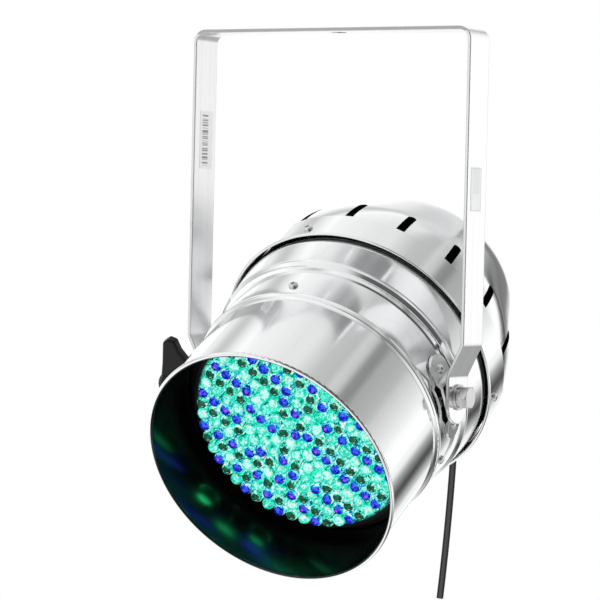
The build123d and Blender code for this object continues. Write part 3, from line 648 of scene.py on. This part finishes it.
def lens(kind, dome):
    """Glowing lens: the camera sees its pattern, the other pieces get its light; on the unlit
    red lamps this glow is painted light.
    """
    glass, thrown, strength = LAMP_LIGHT[kind]
    finish = start_material("lens_" + kind, glass, rough=0.08)
    point, normal = coordinates()
    lamp = LampPlace(point)
    tip = dot(normal, ALONG) * -1.0
    # each lamp samples its own part of the noise
    own_point = vector_math("ADD", point, scaled((17.0, 5.0, 9.0), by=lamp.random))
    swirl = noise(own_point, scale=420.0, rough=0.55, distortion=0.6)
    fine = noise(own_point, scale=1000.0, rough=0.6, distortion=0.8)
    body = glitter(own_point, kind)
    # a dark seam down the side of some lamps
    around = maths("ARCTAN2", dot(normal, UP), dot(normal, ACROSS))
    seam = maths("ABSOLUTE", around - (0.15 + lamp.random * 1.3))
    seam = step(seam, start=0.12, end=0.05) * step(tip, start=0.3, end=0.1)
    seam = seam * step(maths("FRACT", lamp.random * 7.0), start=0.60, end=0.62)
    body = mix(seam * 0.9, body, rgb(0, 22, 20))
    dome_color, reach = dome(lamp, tip, swirl, fine)
    seen = mix(reach, body, dome_color)
    camera_ray = ray("Is Camera Ray")
    # a few lamps throw far more light; it falls off at the outer rings and the lens sides
    falloff = (step(CanPlace(point).radius, start=0.092, end=0.076, low=0.05)
               * step(tip, start=0.45, end=0.95, low=0.08))
    beam = (maths("POWER", lamp.random, 6.0) + 0.05) * strength * falloff
    to_output(principled(
        Base_Color=tuple(part * 0.04 for part in glass), Roughness=0.09, IOR=1.5,
        Emission_Color=mix(camera_ray, thrown, seen),
        Emission_Strength=lerp(camera_ray, off=beam, on=1.0), Specular_IOR_Level=0.05,
        Normal=bump(swirl, distance=0.00010, strength=0.5)))
    return finish


def lamp_board():
    """Black board washed by the lamps' light, crossed by fine dark lines."""
    finish = start_material("board_black", base=(0.02, 0.12, 0.10), rough=0.4)
    point, normal = coordinates()
    fleck = noise(point, scale=900.0, detail=3.0, rough=0.6, distortion=0.4)
    gap = step(cell_edges(point, scale=60.0), start=0.012, end=0.024)
    wash = mix(gap, rgb(4, 30, 26), glitter(point, "green"))
    front = step(dot(normal, ALONG), start=-0.5, end=-0.8)
    glow = front * step(CanPlace(point).radius, start=0.0955, end=0.0915)
    camera_ray = ray("Is Camera Ray")
    to_output(principled(
        Base_Color=mix(fleck, (0.006, 0.007, 0.008), (0.014, 0.016, 0.018)), Roughness=0.38,
        Specular_IOR_Level=0.3, Emission_Color=mix(camera_ray, (0.0, 0.5, 0.24), wash),
        Emission_Strength=glow * lerp(camera_ray, off=0.10, on=1.0)))
    return finish


def carrier_paint():
    """Satin black dish behind the lamps, with a paler reddish-grey edge."""
    finish = start_material("black_paint", base=(0.006, 0.006, 0.007), rough=0.4)
    point, _ = coordinates()
    texture = noise(point, scale=1100.0, detail=3.0)
    cloud = noise(point, scale=50.0, detail=3.0)
    edge, bevelled = bevel_edge(radius=0.0005)
    color = mix(cloud, (0.0015, 0.0016, 0.0018), (0.004, 0.004, 0.0045))
    to_output(principled(
        Base_Color=mix(edge * 0.4, color, (0.055, 0.042, 0.042)), Roughness=0.3 + cloud * 0.15,
        Normal=bump(texture, distance=0.00002, strength=0.4, normal=bevelled),
        Specular_IOR_Level=0.25))
    return finish


# ------------------------------------------------------------------------------
# Give every CAD piece its finish
# ------------------------------------------------------------------------------
def paint(finish, *names):
    for name in names:
        piece = PIECES[name]
        if len(piece.material_slots) == 0:
            piece.data.materials.append(finish)
        for slot in piece.material_slots:
            slot.material = finish


zinc = plated("zinc_steel", (0.88, 0.88, 0.87), rough=0.30)
dark_steel = plated("blackened_steel", (0.03, 0.03, 0.032), rough=0.45)
paint(strap_aluminium(), "yoke")
paint(plate_label(), "arm_label")
paint(bar_label(), "bar_label")
paint(spun_aluminium("spun_barrel", paint_lining), "front_barrel")
paint(spun_aluminium("spun_body", painted_shade_lining), "body_ring", "rear_neck")
paint(spun_aluminium("spun_cap", cap_lining, slant=-0.35), "cap_collar", "rear_cap")
paint(plated("bracket_steel", (0.86, 0.86, 0.86), rough=0.24, cloud_scale=60.0,
             edge_radius=0.0006), "side_bracket_right", "side_bracket_left")
paint(plated("rivet_aluminium", (0.84, 0.84, 0.84), rough=0.24), "bracket_rivets")
paint(zinc, "ring_screws", "collar_screws", "led_standoffs", "led_board_screws",
      "pivot_bolt", "pivot_nut", "pivot_flat_washer", "pivot_spring_washer", "clamp_stud",
      "clamp_washer", "panel_screws", "control_screws", "control_standoffs", "socket_screws",
      "driver_standoffs", "supply_standoffs")
paint(dark_steel, "collar_spacers", "collar_nuts", "ring_nuts")
paint(plated("brass", (0.78, 0.56, 0.26), rough=0.24), "knob_insert", "dmx_in_pins")
paint(plated("socket_nickel", (0.66, 0.64, 0.60), rough=0.2, cloud_scale=90.0,
             edge_radius=0.0005), "dmx_in_socket", "dmx_out_socket")
paint(plated("chassis_steel", (0.55, 0.56, 0.57), rough=0.34, cloud_scale=50.0,
             edge_radius=0.0006), "chassis_plate")
paint(carrier_paint(), "led_carrier")
paint(lamp_board(), "led_board")
paint(lens("green", green_dome), "leds_green")
paint(lens("blue", blue_dome), "leds_blue")
paint(lens("red", red_dome), "leds_red")
paint(plastic("knob_black", (0.004, 0.004, 0.0045), rough=0.30, grain=1300.0, depth=0.00003,
              edge_highlight=0.04, shine=0.22), "tilt_knob")
paint(plastic("nylon_black", (0.012, 0.012, 0.012), rough=0.45), "friction_washers")
paint(plastic("panel_black", (0.010, 0.010, 0.011), rough=0.42, grain=900.0, depth=0.00005,
              edge_highlight=0.06), "rear_panel")
paint(plastic("gland_black", (0.014, 0.014, 0.015), rough=0.38, grain=1300.0, edge_highlight=0.05),
      "cable_gland", "gland_locknut")
paint(plastic("button_black", (0.030, 0.030, 0.032), rough=0.35, grain=1600.0, depth=0.00001,
              edge_highlight=0.08), "menu_button", "down_button", "up_button", "enter_button")
paint(plastic("component_black", (0.015, 0.015, 0.016)), "button_switches")
paint(plastic("display_black", (0.010, 0.010, 0.010), rough=0.3), "display_module")
paint(plastic("transformer_yellow", (0.62, 0.42, 0.05), rough=0.45, grain=700.0,
              depth=0.00005, edge_highlight=0.1), "supply_transformer")
paint(smoke_window(), "display_window")
paint(cable_material(), "mains_cable")
paint(board_green(), "control_board", "driver_board", "supply_board")
paint(capacitor_sleeve(), "supply_capacitors")

# ------------------------------------------------------------------------------
# Studio: white surroundings; reflections see a ring of panels round the can's axis
# ------------------------------------------------------------------------------
# Degrees round the axis (0 at +X, 90 at UP), display brightness
PANELS = [
    (-180, 250), (-158, 252), (-133, 248), (-109, 251), (-103, 236), (-97, 240), (-91, 196),
    (-85, 162), (-79, 106), (-74, 62), (-67, 122), (-61, 167), (-55, 236), (-49, 253),
    (-37, 254), (-31, 248), (-25, 236), (-13, 218), (-1, 200), (5, 180), (17, 170), (24, 166),
    (30, 134), (36, 142), (41, 190), (47, 204), (53, 184), (65, 190), (77, 214), (83, 226),
    (96, 226), (113, 235), (131, 242), (137, 252), (143, 240), (149, 224), (155, 198),
    (161, 197), (167, 215), (173, 233)]
SPLIT = 18  # a ramp holds at most 32 stops, so two share the panels and meet at this one


def panel_ring(direction):
    """The colour that reflections see in a direction."""
    turn = maths("ARCTAN2", dot(direction, UP), dot(direction, ACROSS))
    place = turn / FULL_TURN + 0.5
    stops = [((degrees + 180) / 360.0, linear(level)) for degrees, level in PANELS]
    color = mix(maths("GREATER_THAN", place, stops[SPLIT][0]),
                ramp(place, stops[:SPLIT + 1]), ramp(place, stops[SPLIT:]))
    along = dot(direction, ALONG)
    degrees = turn * (180.0 / math.pi)
    # grey haze straight behind the can
    haze = step(along, start=0.955, end=0.99)
    color = mix(haze * 0.75, color, (0.60, 0.60, 0.605))
    # mottled lift over the dark strip below the can, towards the rear
    lift = window(along, (0.67, 0.60), (0.2, 0.35)) * window(degrees, (-98, -86), (-46, -58))
    tripled = vector_math("MULTIPLY", direction, (3.0, 3.0, 3.0))
    mottle = mix(noise(tripled, scale=1.6), (0.24, 0.24, 0.24), (0.55, 0.55, 0.55))
    color = mix(lift * 0.9, color, mottle)
    # dark patches: one ahead on the +X side, one behind and below
    ahead = window(along, (-0.88, -0.72), (0.12, -0.04)) * window(degrees, (-46, -26), (96, 76))
    color = mix(ahead * 0.94, color, (0.075, 0.075, 0.077))
    behind = step(along, start=0.84, end=0.90) * window(degrees, (-124, -104), (-80, -90))
    color = mix(behind * 0.9, color, (0.13, 0.13, 0.132))
    return mix(1.0, color, (1.1, 1.1, 1.1), blend="MULTIPLY")


def build_world():
    world = bpy.data.worlds.new("studio")
    scene.world = world
    world.use_nodes = True
    begin(world.node_tree)
    ring = panel_ring(build("ShaderNodeTexCoord", output="Generated"))
    # plain white for all but reflections
    not_glossy = 1.0 - maths("MINIMUM", ray("Is Glossy Ray") + 0.0, 1.0)
    plain = maths("MAXIMUM", ray("Is Camera Ray"), not_glossy)
    settings = {"Color": mix(plain, ring, (1.0, 1.0, 1.0)), "Strength": 1.0}
    to_output(build("ShaderNodeBackground", inputs=settings), kind="ShaderNodeOutputWorld")
    world.cycles.sampling_method = "NONE"


def build_floor():
    """A plain pale disc that fades into the surroundings and can't be seen from below."""
    bpy.ops.mesh.primitive_circle_add(vertices=96, radius=3.2, fill_type="NGON",
                                      location=(0.0, 0.0, -0.60))
    floor = bpy.context.object
    floor.name = "studio_floor"
    floor.visible_glossy = False
    finish = start_material("floor_pale", base=(0.93, 0.93, 0.93), rough=0.7)
    point, _ = coordinates()
    far = step(vector_math("LENGTH", point, output="Value"), start=0.45, end=1.1)
    cloud = noise(point, scale=30.0, detail=4.0)
    pale = principled(Base_Color=mix(cloud, (0.90, 0.90, 0.90), (0.94, 0.94, 0.94)),
                      Roughness=0.8, Specular_IOR_Level=0.1)
    hidden = maths("MAXIMUM", far, geometry("Backfacing"))
    to_output(mix_shader(hidden, pale, build("ShaderNodeBsdfTransparent")))
    floor.data.materials.append(finish)


def build_camera():
    """A long lens ahead of the can, turned towards its +X side."""
    turn, rise, roll = math.radians(29.656), math.radians(1.065), math.radians(-1.305)
    distance = 2.61018
    # how far right of and below the middle of the view the can's centre lies
    centre_right, centre_below = 0.0256849201, 0.0756749334
    level = Vector((math.cos(turn), math.sin(turn), 0.0))
    back = Vector((math.sin(turn) * math.cos(rise), -math.cos(turn) * math.cos(rise),
                   math.sin(rise)))
    upright = back.cross(level)
    right = math.cos(roll) * level - math.sin(roll) * upright
    above = math.sin(roll) * level + math.cos(roll) * upright
    place = Vector(CAN_CENTRE) - right * centre_right + above * centre_below + back * distance
    camera_data = bpy.data.cameras.new("camera")
    camera = bpy.data.objects.new("camera", camera_data)
    scene.collection.objects.link(camera)
    rotation = Matrix((right, above, back)).transposed().to_4x4()
    camera.matrix_world = Matrix.Translation(place) @ rotation
    camera_data.sensor_width = 36.0
    camera_data.lens = 188.18353728
    camera_data.clip_start, camera_data.clip_end = 0.1, 50.0
    scene.camera = camera


build_world()
build_floor()
build_camera()

scene.view_settings.view_transform = "Standard"
scene.cycles.use_denoising = True
scene.cycles.max_bounces = 10
scene.cycles.glossy_bounces = 6
scene.cycles.diffuse_bounces = 3
scene.cycles.sample_clamp_indirect = 6.0
scene.cycles.caustics_reflective = True
